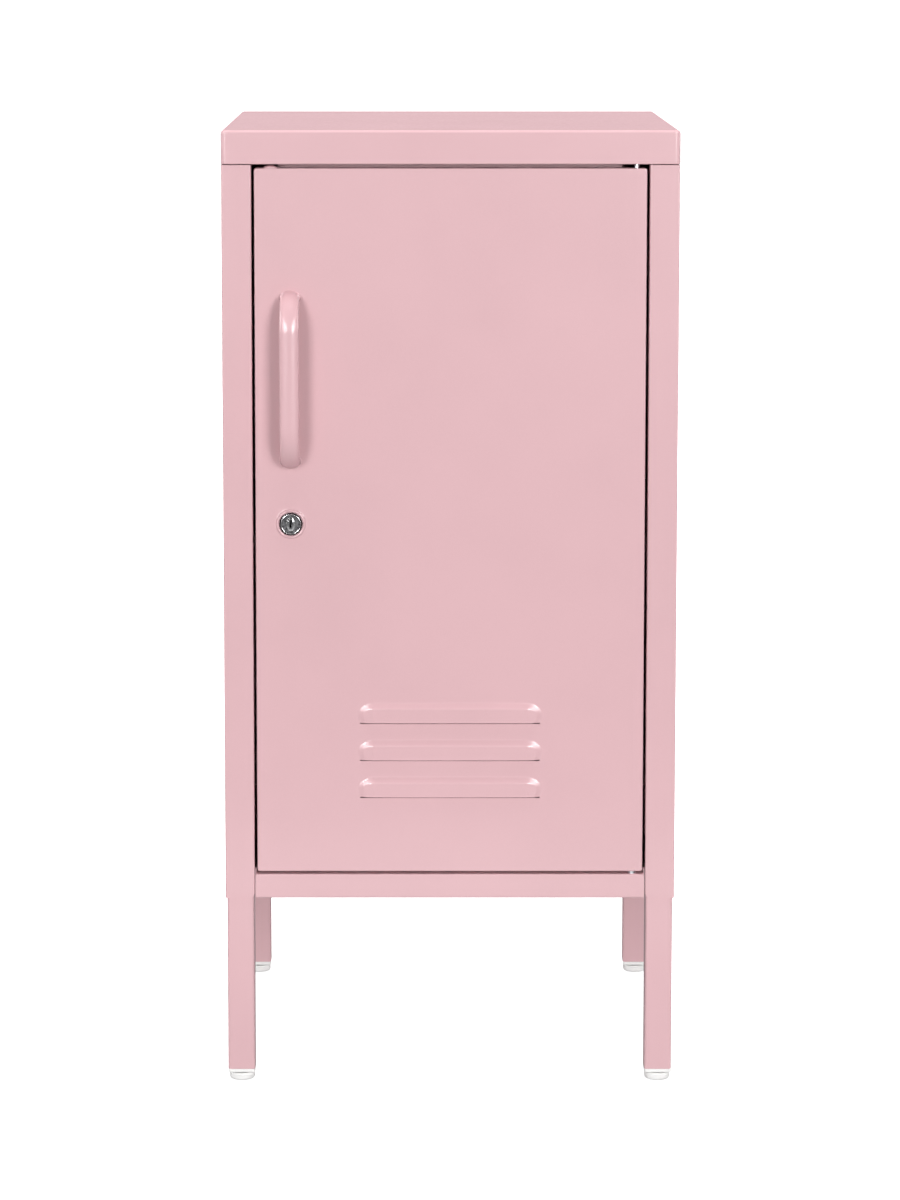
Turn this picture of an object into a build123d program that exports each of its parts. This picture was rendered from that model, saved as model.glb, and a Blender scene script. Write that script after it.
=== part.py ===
from build123d import *
import os

# A small single-door steel locker cabinet on four legs, as an assembly of separate pieces.
# Millimetres. +Z is up, the door faces -Y and its hinge is on the +X side. The origin is on the
# floor, at the middle of the overall box, which takes in the reach of the handle.

# ---- Driving dimensions ---------------------------------------------------------------------
cap_width = 350.0
cap_depth = 350.0
total_height = 744.0
skirt_height = 25.7        # height of the top panel's folded skirt
body_bottom = 147.3        # underside of the cabinet body
sheet = 1.2                # steel sheet
reveal = 0.3               # the body sits this far inside the top panel's outline
rear_reveal = 2.5          # the back panel sits this far inside it, which clears its screw heads

post_width = 22.8          # face of each front post
post_depth = 21.0
post_lip = 8.0
rail_height = 19.1         # front edge of the bottom panel

door_side_gap = 2.2
door_bottom_gap = 2.1
door_top_gap = 3.1
door_depth = 18.0
door_corner = 1.8
door_lip = 15.0

hinge_inset = 7.8          # hinge axis, in from the door's edge
hinge_setback = 5.0        # hinge axis, behind the door's face
hinge_pin_radius = 2.0
hinge_bush_radius = 3.6
running_clearance = 0.05
seating_gap = 0.1

handle_x = -122.6
handle_z = 553.5
handle_outer_length = 137.0  # over the flared feet
handle_width = 14.8        # oval bar, its broad side to the front
handle_thickness = 9.7
handle_foot_width = 16.6   # the bar flares a little where it meets the door
handle_foot_depth = 6.0
handle_reach = 30.0        # in front of the top panel's face

lock_z = 441.9
collar_inner = 9.1         # the pressed ring around the lock
collar_outer = 11.6
collar_height = 1.3

louvre_count = 3
louvre_width = 144.0
louvre_height = 15.9
louvre_depth = 2.6
louvre_slope = 5.0         # height of the slanted upper band
louvre_gap = 0.9           # open slot in the skin, under each lip
louvre_slot_half = 69.6
louvre_corner = 10.5
louvre_first_lip = 227.7   # lower lip of the lowest louvre
louvre_pitch = 29.25

leg_size = 21.0
leg_wall = 1.5
leg_bottom = 9.8
leg_insert = 46.0          # how far a leg reaches up into its corner
leg_corner = 2.2
leg_notch_gap = 2.0        # the post's fold starts this far above the leg

pad_radius = 10.0
pad_height = 6.0
pad_gap = 1.0
stud_radius = 3.0
stud_top = 34.0

shelf_top = 430.0
shelf_front_setback = 32.0
shelf_flange = 15.0
shelf_side_clearance = 1.5

wall_hole_radius = 3.25
wall_hole_spacing = 220.0
wall_hole_z = 690.0

# ---- Planes and levels worked out from them -------------------------------------------------
front = (handle_reach - cap_depth) / 2
back = front + cap_depth
body_front = front + reveal
body_half = cap_width / 2 - reveal
wall_inner = body_half - sheet
opening_half = body_half - post_width
back_face = back - rear_reveal
back_inner = back_face - sheet
rear_flange_inner = back_inner - sheet
cap_bottom = total_height - skirt_height
floor_top = body_bottom + rail_height
floor_under = floor_top - sheet
leg_top = body_bottom + leg_insert

door_half = opening_half - door_side_gap
door_bottom = floor_top + door_bottom_gap
door_top = cap_bottom - door_top_gap
door_inner_face = body_front + sheet
door_back = body_front + door_depth
hinge_x = door_half - hinge_inset
hinge_y = body_front + hinge_setback
lock_x = handle_x
handle_foot_thickness = handle_thickness + handle_foot_width - handle_width
handle_span = handle_outer_length - handle_foot_thickness
handle_bend = handle_reach - reveal - handle_thickness / 2

cap_lip = 15.0             # inward lip around the top panel's lower edge
header_setback = 20.0      # face of the header, behind the door's face
header_half = 132.0
header_drop = 9.5
header_depth = 25.0

leg_centre_x = wall_inner - leg_size / 2
leg_front_y = body_front + sheet + leg_size / 2
leg_rear_y = rear_flange_inner - leg_size / 2
corners = {
    "front_left": (-leg_centre_x, leg_front_y),
    "front_right": (leg_centre_x, leg_front_y),
    "rear_left": (-leg_centre_x, leg_rear_y),
    "rear_right": (leg_centre_x, leg_rear_y),
}


# ---- Shapes used more than once -------------------------------------------------------------
def block(x0, x1, y0, y1, z0, z1):
    """A box given by its low and high limits along each axis."""
    centre = Pos((x0 + x1) / 2, (y0 + y1) / 2, (z0 + z1) / 2)
    return centre * Box(x1 - x0, y1 - y0, z1 - z0)


def rod_z(x, y, z0, z1, radius):
    """A vertical round bar."""
    return Pos(x, y, (z0 + z1) / 2) * Cylinder(radius, z1 - z0)


def rod_y(x, z, y0, y1, radius):
    """A round bar that runs front to back."""
    return Pos(x, (y0 + y1) / 2, z) * Rot(90, 0, 0) * Cylinder(radius, y1 - y0)


def plate_y(outline, y0, y1):
    """A plate whose outline lies in the X-Z plane, between two depths."""
    return extrude(Plane.XZ.offset(-y1) * outline, amount=y1 - y0)


def tube_z(x, y, z0, z1, outer, inner):
    return rod_z(x, y, z0, z1, outer) - rod_z(x, y, z0, z1, inner)


def tube_y(x, z, y0, y1, outer, inner):
    return rod_y(x, z, y0, y1, outer) - rod_y(x, z, y0, y1, inner)


def pan_screw(head_radius, head_height, shank_radius, shank_length):
    """A pan-head screw that points up, with the underside of its head at the origin."""
    crown_radius = head_height * 0.6
    head = Pos(0, 0, -head_height / 2) * Cylinder(head_radius, head_height)
    rim = head.edges().filter_by(GeomType.CIRCLE).sort_by(Axis.Z)[0]
    head = fillet(rim, crown_radius)
    recess_depth = head_height * 0.6
    arm_length = head_radius * 1.1
    arm_width = head_height * 0.35
    recess = Box(arm_length, arm_width, recess_depth) + Box(arm_width, arm_length, recess_depth)
    head -= Pos(0, 0, -head_height + recess_depth / 2) * recess
    return head + Pos(0, 0, shank_length / 2) * Cylinder(shank_radius, shank_length)


def group(solids):
    """Separate solids of one kind, kept in one node."""
    return Compound(children=list(solids))


# ---- Cabinet body ---------------------------------------------------------------------------
screw_radius = 2.0
screw_clearance = 0.1
ledge = 14.0               # top flange of each side panel, under the top panel's lip
ledge_screw_x = body_half - 8.5
ledge_screw_ys = (front + 70.0, back - 70.0)
back_screw_x = opening_half + 10.0
back_screw_zs = (240.0, 370.0, 500.0, 630.0)
leg_screw_zs = (body_bottom + 14.0, body_bottom + 34.0)
leg_screw_radius = 2.5
leg_screw_head = 4.5
leg_screw_cone = 2.0


def top_panel():
    """The cap: an inverted pan with a skirt all round and an inward lip at its lower edge."""
    corner_radius = 4.0
    edge_radius = 2.4
    half = cap_width / 2
    shell = block(-half, half, front, back, cap_bottom, total_height)
    shell = fillet(shell.edges().filter_by(Axis.Z), corner_radius)
    shell = fillet(shell.faces().sort_by(Axis.Z)[-1].edges(), edge_radius)
    inner_half = half - sheet
    cavity = block(-inner_half, inner_half, front + sheet, back - sheet,
                   cap_bottom + sheet, total_height - sheet)
    cavity = fillet(cavity.edges().filter_by(Axis.Z), corner_radius - sheet)
    cavity = fillet(cavity.faces().sort_by(Axis.Z)[-1].edges(), edge_radius - sheet)
    mouth = block(-half + cap_lip, half - cap_lip, front + cap_lip, back - cap_lip,
                  cap_bottom, cap_bottom + sheet)
    shell = shell - cavity - mouth
    for side in (-1, 1):
        for y in ledge_screw_ys:
            shell -= rod_z(side * ledge_screw_x, y, cap_bottom, cap_bottom + sheet,
                           screw_radius + screw_clearance)
    return shell - rod_z(hinge_x, hinge_y, cap_bottom, cap_bottom + sheet, hinge_pin_radius)


def left_side_panel():
    """One sheet: side wall, front post, rear flange and top flange."""
    inner_corner = 4.3
    fold = 0.9
    wall = block(-body_half, -wall_inner, body_front, back_inner, body_bottom, cap_bottom)
    face = block(-body_half, -opening_half, body_front, body_front + sheet,
                 body_bottom, cap_bottom)
    face = fillet(face.edges().filter_by(Axis.Y).sort_by(Axis.Z)[:2].sort_by(Axis.X)[-1],
                  inner_corner)
    inward = -opening_half - sheet
    post_back = body_front + post_depth
    fold_bottom = leg_top + leg_notch_gap
    fold_back = block(inward, -opening_half, body_front, post_back, fold_bottom, cap_bottom)
    lip = block(inward - post_lip, inward, post_back - sheet, post_back, fold_bottom, cap_bottom)
    rear = block(-body_half, -opening_half, rear_flange_inner, back_inner,
                 body_bottom, cap_bottom)
    top = block(-body_half, -body_half + ledge, body_front, back_inner,
                cap_bottom - sheet, cap_bottom)
    panel = wall + face + fold_back + lip + rear + top
    upright = panel.edges().filter_by(Axis.Z).filter_by(
        lambda edge: abs(edge.center().X + body_half) < 0.01)
    panel = fillet(upright, fold)
    for y in ledge_screw_ys:
        panel -= rod_z(-ledge_screw_x, y, cap_bottom - sheet, cap_bottom,
                       screw_radius + screw_clearance)
    for z in back_screw_zs:
        panel -= rod_y(-back_screw_x, z, rear_flange_inner, back_inner,
                       screw_radius + screw_clearance)
    for screw in leg_screw_shapes(-1):
        panel -= screw
    return panel


def back_panel():
    """A flat sheet on the back, with a pair of wall-fixing holes and its screw holes."""
    panel = block(-body_half, body_half, back_inner, back_face, body_bottom, cap_bottom)
    for side in (-1, 1):
        panel -= rod_y(side * wall_hole_spacing / 2, wall_hole_z, back_inner, back_face,
                       wall_hole_radius)
        for z in back_screw_zs:
            panel -= rod_y(side * back_screw_x, z, back_inner, back_face,
                           screw_radius + screw_clearance)
    return panel


def bottom_panel():
    """The floor, with a front rail between the posts and flanges folded down at the other sides."""
    seam = 0.3
    notch = leg_size + sheet + seam
    rail_half = opening_half - seam
    side = wall_inner - seating_gap
    rear = rear_flange_inner - seating_gap
    rail_corner = 2.0
    rail_lip = 9.0
    inner_front = body_front + sheet
    floor = block(-side, side, inner_front, rear, floor_under, floor_top)
    for x in (-side, side - notch):
        floor -= block(x, x + notch, inner_front, inner_front + notch, floor_under, floor_top)
        floor -= block(x, x + notch, rear - notch, rear, floor_under, floor_top)
    rail = block(-rail_half, rail_half, body_front, inner_front, body_bottom, floor_top)
    upper = rail.edges().filter_by(Axis.Y).sort_by(Axis.Z)[-2:]
    rail = fillet(upper, rail_corner)
    lip = block(-rail_half, rail_half, inner_front, inner_front + rail_lip,
                body_bottom, body_bottom + sheet)
    panel = floor + rail + lip
    for x in (-side, side - sheet):
        panel += block(x, x + sheet, inner_front + notch, rear - notch, body_bottom, floor_under)
    panel += block(-side + notch, side - notch, rear - sheet, rear, body_bottom, floor_under)
    return panel - rod_z(hinge_x, hinge_y, floor_under, floor_top, hinge_pin_radius)


# The magnetic catch hangs from a tab behind the header.
catch_x = -80.0
catch_width = 40.0
catch_z0 = 695.0
catch_z1 = 708.5
catch_front = door_back + 1.6
catch_back = catch_front + 13.0
catch_screw_offset = 14.0
magnet_reach = 0.3
magnet_depth = 6.0


def front_header():
    """An angle under the top panel's front lip that stiffens the door opening."""
    y0 = body_front + header_setback
    leaf = block(-header_half, header_half, y0, y0 + sheet, cap_bottom - header_drop, cap_bottom)
    flange = block(-header_half, header_half, y0, y0 + header_depth,
                   cap_bottom - sheet, cap_bottom)
    tab = block(catch_x - catch_width / 2, catch_x + catch_width / 2, catch_back,
                catch_back + sheet, catch_z0, cap_bottom)
    header = leaf + flange + tab
    for side in (-1, 1):
        header -= rod_y(catch_x + side * catch_screw_offset, (catch_z0 + catch_z1) / 2,
                        catch_back, catch_back + sheet, screw_radius)
    return header


def shelf():
    """A loose shelf with all four edges folded down."""
    edge_radius = 1.0
    half = wall_inner - shelf_side_clearance
    y0 = body_front + shelf_front_setback
    y1 = rear_flange_inner - shelf_side_clearance
    tray = block(-half, half, y0, y1, shelf_top - shelf_flange, shelf_top)
    tray = fillet(tray.faces().sort_by(Axis.Z)[-1].edges(), edge_radius)
    return tray - block(-half + sheet, half - sheet, y0 + sheet, y1 - sheet,
                        shelf_top - shelf_flange, shelf_top - sheet)


def shelf_clips():
    """Four small angle clips on the side walls, under the shelf's folded edges."""
    clip_width = 16.0
    clip_height = 14.0
    clip_reach = 10.0
    front_inset = 12.0
    rear_inset = 30.0
    z1 = shelf_top - shelf_flange
    ys = (body_front + shelf_front_setback + front_inset, rear_flange_inner - rear_inset)
    clips = []
    for side in (-1, 1):
        for y in ys:
            plate = block(wall_inner - sheet, wall_inner, y, y + clip_width, z1 - clip_height, z1)
            foot = block(wall_inner - clip_reach, wall_inner, y, y + clip_width, z1 - sheet, z1)
            clip = plate + foot
            clips.append(clip if side > 0 else mirror(clip, about=Plane.YZ))
    return group(clips)


# ---- Legs and levelling feet ----------------------------------------------------------------
def leg(x, y):
    """A square steel tube."""
    bore = leg_size - 2 * leg_wall
    outside = RectangleRounded(leg_size, leg_size, leg_corner)
    inside = RectangleRounded(bore, bore, leg_corner - leg_wall)
    tube = Pos(x, y, leg_bottom) * extrude(outside - inside, leg_top - leg_bottom)
    for screw in leg_screw_shapes(-1 if x < 0 else 1, [y]):
        tube -= screw
    return tube


def leg_screw_shapes(side, ys=(leg_front_y, leg_rear_y)):
    """Countersunk screws through the side wall and a leg's outer wall."""
    screws = []
    shank = 9.0
    for y in ys:
        for z in leg_screw_zs:
            cone = Pos(0, 0, leg_screw_cone / 2) * Cone(leg_screw_head, leg_screw_radius,
                                                        leg_screw_cone)
            body = cone + Pos(0, 0, shank / 2) * Cylinder(leg_screw_radius, shank)
            screws.append(Pos(side * body_half, y, z) * Rot(0, -side * 90, 0) * body)
    return screws


def leg_screws():
    """The eight leg screws, with a cross recess in each flush head."""
    recess_depth = 1.2
    arm = 4.6
    slot = 0.9
    finished = []
    for side in (-1, 1):
        x = side * (body_half - recess_depth / 2)
        ys = [leg_front_y, leg_front_y, leg_rear_y, leg_rear_y]
        for screw, y, z in zip(leg_screw_shapes(side), ys, leg_screw_zs * 2):
            recess = Box(recess_depth, arm, slot) + Box(recess_depth, slot, arm)
            finished.append(screw - Pos(x, y, z) * recess)
    return group(finished)


def leg_plug(x, y):
    """A plastic end plug with a threaded hole for the foot's stud."""
    flange_bottom = pad_height + pad_gap
    insert = leg_size - 2 * (leg_wall + seating_gap)
    insert_corner = 0.6
    insert_height = 17.0
    flange_outline = RectangleRounded(leg_size, leg_size, leg_corner)
    insert_outline = RectangleRounded(insert, insert, insert_corner)
    flange = Pos(x, y, flange_bottom) * extrude(flange_outline, leg_bottom - flange_bottom)
    plug = flange + Pos(x, y, leg_bottom) * extrude(insert_outline, insert_height)
    return plug - rod_z(x, y, flange_bottom, leg_bottom + insert_height,
                        stud_radius + running_clearance)


stud_seat = 2.6            # bottom of the stud, moulded into the pad


def foot_pad(x, y):
    """A round plastic glide."""
    lower_round = 2.4
    upper_round = 0.8
    pad = rod_z(x, y, 0, pad_height, pad_radius)
    pad = fillet(pad.edges().filter_by(GeomType.CIRCLE).sort_by(Axis.Z)[0], lower_round)
    pad = fillet(pad.edges().filter_by(GeomType.CIRCLE).sort_by(Axis.Z)[-1], upper_round)
    return pad - rod_z(x, y, stud_seat, pad_height, stud_radius)


def foot_stud(x, y):
    """A threaded steel stud."""
    lead_in = 0.7
    stud = rod_z(x, y, stud_seat, stud_top, stud_radius)
    return chamfer(stud.edges().filter_by(GeomType.CIRCLE).sort_by(Axis.Z)[-1], lead_in)


# ---- Door -----------------------------------------------------------------------------------
lock_hole_radius = 8.1
handle_screw_radius = 2.0
handle_end_zs = (handle_z - handle_span / 2, handle_z + handle_span / 2)


def louvre_hood(lip_z, inset):
    """A pressed hood, open downwards. The inset is zero outside and one sheet inside."""
    half = louvre_width / 2 - inset
    height = louvre_height - inset
    outline = Pos(0, height / 2) * Rectangle(2 * half, height)
    top_corners = outline.vertices().sort_by(Axis.Y)[-2:]
    outline = fillet(top_corners, louvre_corner - inset)
    reach = louvre_depth - inset
    cap = Pos(0, 0, lip_z) * plate_y(outline, body_front - reach, door_inner_face)
    slope_top = lip_z + height
    shoulder = lip_z + louvre_height - louvre_slope - inset / 2
    profile = Polyline(
        (0, door_inner_face, lip_z),
        (0, body_front - reach, lip_z),
        (0, body_front - reach, shoulder),
        (0, body_front, slope_top),
        (0, door_inner_face, slope_top),
        close=True,
    )
    wedge = extrude(make_face(profile), amount=half, dir=(1, 0, 0), both=True)
    return cap & wedge


def door_panel():
    """A folded pan: skin, four edges folded back, lips folded in, and three pressed louvres."""
    fold_radius = 0.8
    collar_round = 0.9
    skin_outline = RectangleRounded(2 * door_half, door_top - door_bottom, door_corner)
    middle = (door_top + door_bottom) / 2
    pan = Pos(0, 0, middle) * plate_y(skin_outline, body_front, door_back)
    pan = fillet(pan.faces().sort_by(Axis.Y)[0].edges(), fold_radius)
    hollow = block(-door_half + sheet, door_half - sheet, door_inner_face, door_back - sheet,
                   door_bottom + sheet, door_top - sheet)
    lip = door_lip + sheet
    mouth = block(-door_half + lip, door_half - lip, door_back - sheet, door_back,
                  door_bottom + lip, door_top - lip)
    pan = pan - hollow - mouth
    for index in range(louvre_count):
        lip_z = louvre_first_lip + index * louvre_pitch
        pan = pan + louvre_hood(lip_z, 0) - louvre_hood(lip_z, sheet)
        pan -= block(-louvre_slot_half, louvre_slot_half, body_front, door_inner_face,
                     lip_z - louvre_gap, lip_z)
    collar = tube_y(lock_x, lock_z, body_front - collar_height, body_front,
                    collar_outer, collar_inner)
    rims = collar.edges().filter_by(GeomType.CIRCLE).sort_by(Axis.Y)[:2]
    pan += fillet(rims, collar_round)
    pan -= rod_y(lock_x, lock_z, body_front, door_inner_face, lock_hole_radius)
    for z in handle_end_zs:
        pan -= rod_y(handle_x, z, body_front, door_inner_face, handle_screw_radius)
    for z0, z1 in ((door_top - sheet, door_top), (door_bottom, door_bottom + sheet)):
        pan -= rod_z(hinge_x, hinge_y, z0, z1, hinge_bush_radius)
    return pan


def door_stiffener():
    """A hat channel welded behind the skin, above the louvres."""
    centre_x = 20.0
    wing = 12.0
    crown_half = 18.0
    depth = 13.0
    lower_gap = 20.0
    upper_gap = 30.0
    z0 = louvre_first_lip + louvre_count * louvre_pitch + lower_gap
    z1 = door_top - upper_gap
    y0 = door_inner_face
    outer = centre_x + crown_half
    inner = centre_x - crown_half
    hat = block(inner, outer, y0, y0 + depth, z0, z1)
    hat -= block(inner + sheet, outer - sheet, y0, y0 + depth - sheet, z0, z1)
    hat += block(inner - wing, inner, y0, y0 + sheet, z0, z1)
    hat += block(outer, outer + wing, y0, y0 + sheet, z0, z1)
    return hat


def door_buffer():
    """A low dome on the door's top edge, near the free corner."""
    base_radius = 5.3
    rise = 2.0
    side_inset = 12.5
    face_inset = 0.6
    sphere_radius = (base_radius ** 2 + rise ** 2) / (2 * rise)
    x = -door_half + side_inset
    y = body_front + base_radius + face_inset
    ball = Pos(x, y, door_top + rise - sphere_radius) * Sphere(sphere_radius)
    return ball & block(x - base_radius, x + base_radius, y - base_radius, y + base_radius,
                        door_top, door_top + rise)


def handle():
    """An oval bar bent into a D pull, flared and tapped at both ends."""
    tuck = 0.1             # the flare ends this far inside the bar's surface
    tapping = 12.0
    bar_y = front - handle_reach + handle_thickness / 2
    low, high = handle_end_zs
    path = FilletPolyline(
        (handle_x, body_front, high),
        (handle_x, bar_y, high),
        (handle_x, bar_y, low),
        (handle_x, body_front, low),
        radius=handle_bend,
    )
    across = Plane(origin=path @ 0, x_dir=(1, 0, 0), z_dir=path % 0)
    bar = sweep(across * Ellipse(handle_width / 2, handle_thickness / 2), path=path)
    foot_outline = Ellipse(handle_foot_width / 2, handle_foot_thickness / 2)
    neck_outline = Ellipse(handle_width / 2 - tuck, handle_thickness / 2 - tuck)
    for z in handle_end_zs:
        at_door = Plane(origin=(handle_x, body_front, z), x_dir=(1, 0, 0), z_dir=(0, -1, 0))
        bar += loft([at_door * foot_outline, at_door.offset(handle_foot_depth) * neck_outline])
    for z in handle_end_zs:
        bar -= rod_y(handle_x, z, body_front - tapping, body_front, handle_screw_radius)
    return bar


def handle_screws():
    """Two pan-head screws from inside the door into the handle's ends."""
    screw = pan_screw(4.2, 2.6, handle_screw_radius, 12.0)
    return group(Pos(handle_x, door_inner_face, z) * Rot(90, 0, 0) * screw
                 for z in handle_end_zs)


# ---- Lock -----------------------------------------------------------------------------------
flange_radius = 8.8
flange_front = body_front - 1.2
rim_front = body_front - 2.2
face_front = body_front - 2.0
shutter_front = body_front - 2.7
barrel_radius = 8.0
bore_radius = 5.6
face_radius = 7.05
barrel_back = body_front + 21.5
cam_front = body_front + 22.5
cam_back = cam_front + 2.0
key_width = 1.5
key_height = 6.0
key_offset = 0.4
key_depth = 9.0
square = 7.0
cam_screw_radius = 1.5


def lock_housing():
    """The barrel and its dark front flange."""
    flange = rod_y(lock_x, lock_z, flange_front, body_front, flange_radius)
    barrel = rod_y(lock_x, lock_z, body_front, barrel_back, barrel_radius)
    housing = flange + barrel
    return housing - rod_y(lock_x, lock_z, flange_front, barrel_back, bore_radius)


def lock_rim():
    """A bright ring pressed onto the flange."""
    ring_radius = 7.8
    ring_gap = 0.08
    ring_round = 0.25
    ring = tube_y(lock_x, lock_z, rim_front, flange_front, ring_radius, face_radius + ring_gap)
    crest = ring.edges().filter_by(GeomType.CIRCLE).sort_by(Axis.Y)[0]
    return fillet(crest, ring_round)


def lock_nut():
    """A thin hexagon nut that clamps the housing to the door's skin."""
    across_flats = 22.0
    thickness = 4.0
    outline = RegularPolygon(across_flats / 2, 6, major_radius=False) - Circle(barrel_radius)
    return Pos(lock_x, 0, lock_z) * plate_y(outline, door_inner_face, door_inner_face + thickness)


def lock_plug():
    """The turning core: a round face, a cylinder in the barrel and a square for the cam."""
    screw_hole_depth = 8.0
    face = rod_y(lock_x, lock_z, face_front, flange_front, face_radius)
    core = rod_y(lock_x, lock_z, flange_front, cam_front, bore_radius - running_clearance)
    half = square / 2
    drive = block(lock_x - half, lock_x + half, cam_front, cam_back, lock_z - half, lock_z + half)
    plug = face + core + drive
    plug -= key_slot(face_front, face_front + key_depth)
    return plug - rod_y(lock_x, lock_z, cam_back - screw_hole_depth, cam_back, cam_screw_radius)


def key_slot(y0, y1):
    """The keyway, a little above the lock's centre."""
    half = key_width / 2
    centre_z = lock_z + key_offset
    return block(lock_x - half, lock_x + half, y0, y1,
                 centre_z - key_height / 2, centre_z + key_height / 2)


def lock_shutter():
    """The bright faceted insert around the keyway."""
    half_width = 3.3
    half_height = 5.2
    flat = 1.4
    waist = 1.6
    facet = 0.55
    outline = Polyline(
        (flat, half_height), (half_width, waist), (half_width, -waist), (flat, -half_height),
        (-flat, -half_height), (-half_width, -waist), (-half_width, waist), (-flat, half_height),
        close=True,
    )
    insert = Pos(lock_x, 0, lock_z) * plate_y(make_face(outline), shutter_front, face_front)
    insert = chamfer(insert.faces().sort_by(Axis.Y)[0].edges(), facet)
    return insert - key_slot(shutter_front, face_front)


def lock_cam():
    """A flat latch arm. It hangs down when unlocked."""
    reach = 36.0
    arm_half = 7.5
    boss_radius = 9.0
    tip_round = 3.0
    arm = Pos(0, -reach / 2) * Rectangle(2 * arm_half, reach - arm_half)
    outline = Circle(boss_radius) + arm - Rectangle(square, square)
    tip = outline.vertices().sort_by(Axis.Y)[:2]
    outline = fillet(tip, tip_round)
    return Pos(lock_x, 0, lock_z) * plate_y(outline, cam_front, cam_back)


def cam_screw():
    """The screw that holds the cam on the core."""
    screw = pan_screw(4.6, 2.2, cam_screw_radius, 8.0)
    return Pos(lock_x, cam_back, lock_z) * Rot(90, 0, 0) * screw


# ---- Hinge ----------------------------------------------------------------------------------
bush_length = 10.5
pin_engagement = 9.0
pin_head_radius = 3.5
pin_head_height = 1.5


def upper_hinge_pin():
    """A headed pin riveted into the top panel's lip."""
    shank = rod_z(hinge_x, hinge_y, door_top - pin_engagement, cap_bottom + sheet,
                  hinge_pin_radius)
    head_z = cap_bottom + sheet
    return shank + rod_z(hinge_x, hinge_y, head_z, head_z + pin_head_height, pin_head_radius)


def lower_hinge_pin():
    """A headed pin riveted into the bottom panel."""
    shank = rod_z(hinge_x, hinge_y, floor_under, door_bottom + pin_engagement, hinge_pin_radius)
    return shank + rod_z(hinge_x, hinge_y, floor_under - pin_head_height, floor_under,
                         pin_head_radius)


def hinge_washer():
    """The washer that carries the door's weight, on the lower pin."""
    washer_radius = 3.4
    return tube_z(hinge_x, hinge_y, floor_top, door_bottom - seating_gap, washer_radius,
                  hinge_pin_radius)


def hinge_bush(z0, z1):
    """A plastic bush in the door's folded edge."""
    return tube_z(hinge_x, hinge_y, z0, z1, hinge_bush_radius,
                  hinge_pin_radius + running_clearance)


# ---- Magnetic catch -------------------------------------------------------------------------
strike_thickness = 1.0
magnet_half = 13.0
magnet_z0 = 699.5
magnet_z1 = 706.5


def catch_housing():
    """The plastic body, open in front for the magnet."""
    corner = 2.0
    half = catch_width / 2
    shell = block(catch_x - half, catch_x + half, catch_front, catch_back, catch_z0, catch_z1)
    shell = fillet(shell.edges().filter_by(Axis.Y), corner)
    return shell - block(catch_x - magnet_half, catch_x + magnet_half, catch_front,
                         catch_front + magnet_depth, magnet_z0, magnet_z1)


def catch_magnet():
    """A ferrite block that stands a little out of its housing."""
    return block(catch_x - magnet_half, catch_x + magnet_half, catch_front - magnet_reach,
                 catch_front + magnet_depth, magnet_z0, magnet_z1)


def catch_screws():
    """Two screws through the header's tab into the catch."""
    screw = pan_screw(3.6, 2.0, screw_radius, sheet)
    z = (catch_z0 + catch_z1) / 2
    return group(Pos(catch_x + side * catch_screw_offset, catch_back + sheet, z)
                 * Rot(90, 0, 0) * screw for side in (-1, 1))


def strike_plate():
    """A small steel plate on the door's upper lip, for the magnet."""
    half = magnet_half + 4.0
    z0 = magnet_z0 + 1.0
    z1 = magnet_z1 + 4.0
    corner = 2.0
    plate = block(catch_x - half, catch_x + half, door_back, door_back + strike_thickness, z0, z1)
    return fillet(plate.edges().filter_by(Axis.Y), corner)


def top_panel_screws():
    """Screws from inside, through each side panel's top flange into the top panel's lip."""
    screw = pan_screw(3.8, 2.4, screw_radius, 6.0)
    return group(Pos(side * ledge_screw_x, y, cap_bottom - sheet) * screw
                 for side in (-1, 1) for y in ledge_screw_ys)


def back_panel_screws():
    """Low pan-head screws through the back panel into the side panels' rear flanges."""
    screw = pan_screw(3.8, 1.8, screw_radius, 8.0)
    return group(Pos(side * back_screw_x, back_face, z) * Rot(90, 0, 0) * screw
                 for side in (-1, 1) for z in back_screw_zs)


# ---- The assembly ---------------------------------------------------------------------------
pieces = {
    "top_panel": top_panel(),
    "left_side_panel": left_side_panel(),
    "back_panel": back_panel(),
    "bottom_panel": bottom_panel(),
    "front_header": front_header(),
    "shelf": shelf(),
    "shelf_clips": shelf_clips(),
    "leg_screws": leg_screws(),
    "door_panel": door_panel(),
    "door_stiffener": door_stiffener(),
    "door_buffer": door_buffer(),
    "handle": handle(),
    "handle_screws": handle_screws(),
    "lock_housing": lock_housing(),
    "lock_rim": lock_rim(),
    "lock_nut": lock_nut(),
    "lock_plug": lock_plug(),
    "lock_shutter": lock_shutter(),
    "lock_cam": lock_cam(),
    "cam_screw": cam_screw(),
    "upper_hinge_pin": upper_hinge_pin(),
    "lower_hinge_pin": lower_hinge_pin(),
    "hinge_washer": hinge_washer(),
    "upper_hinge_bush": hinge_bush(door_top - bush_length, door_top),
    "lower_hinge_bush": hinge_bush(door_bottom, door_bottom + bush_length),
    "catch_housing": catch_housing(),
    "catch_magnet": catch_magnet(),
    "catch_screws": catch_screws(),
    "strike_plate": strike_plate(),
    "top_panel_screws": top_panel_screws(),
    "back_panel_screws": back_panel_screws(),
}
pieces["right_side_panel"] = mirror(pieces["left_side_panel"], about=Plane.YZ)
for corner, (x, y) in corners.items():
    pieces[f"leg_{corner}"] = leg(x, y)
    pieces[f"leg_plug_{corner}"] = leg_plug(x, y)
    pieces[f"foot_pad_{corner}"] = foot_pad(x, y)
    pieces[f"foot_stud_{corner}"] = foot_stud(x, y)

os.makedirs("parts", exist_ok=True)
for name, piece in pieces.items():
    piece.label = name
    export_step(piece, f"parts/{name}.step")
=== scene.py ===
import math

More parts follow.
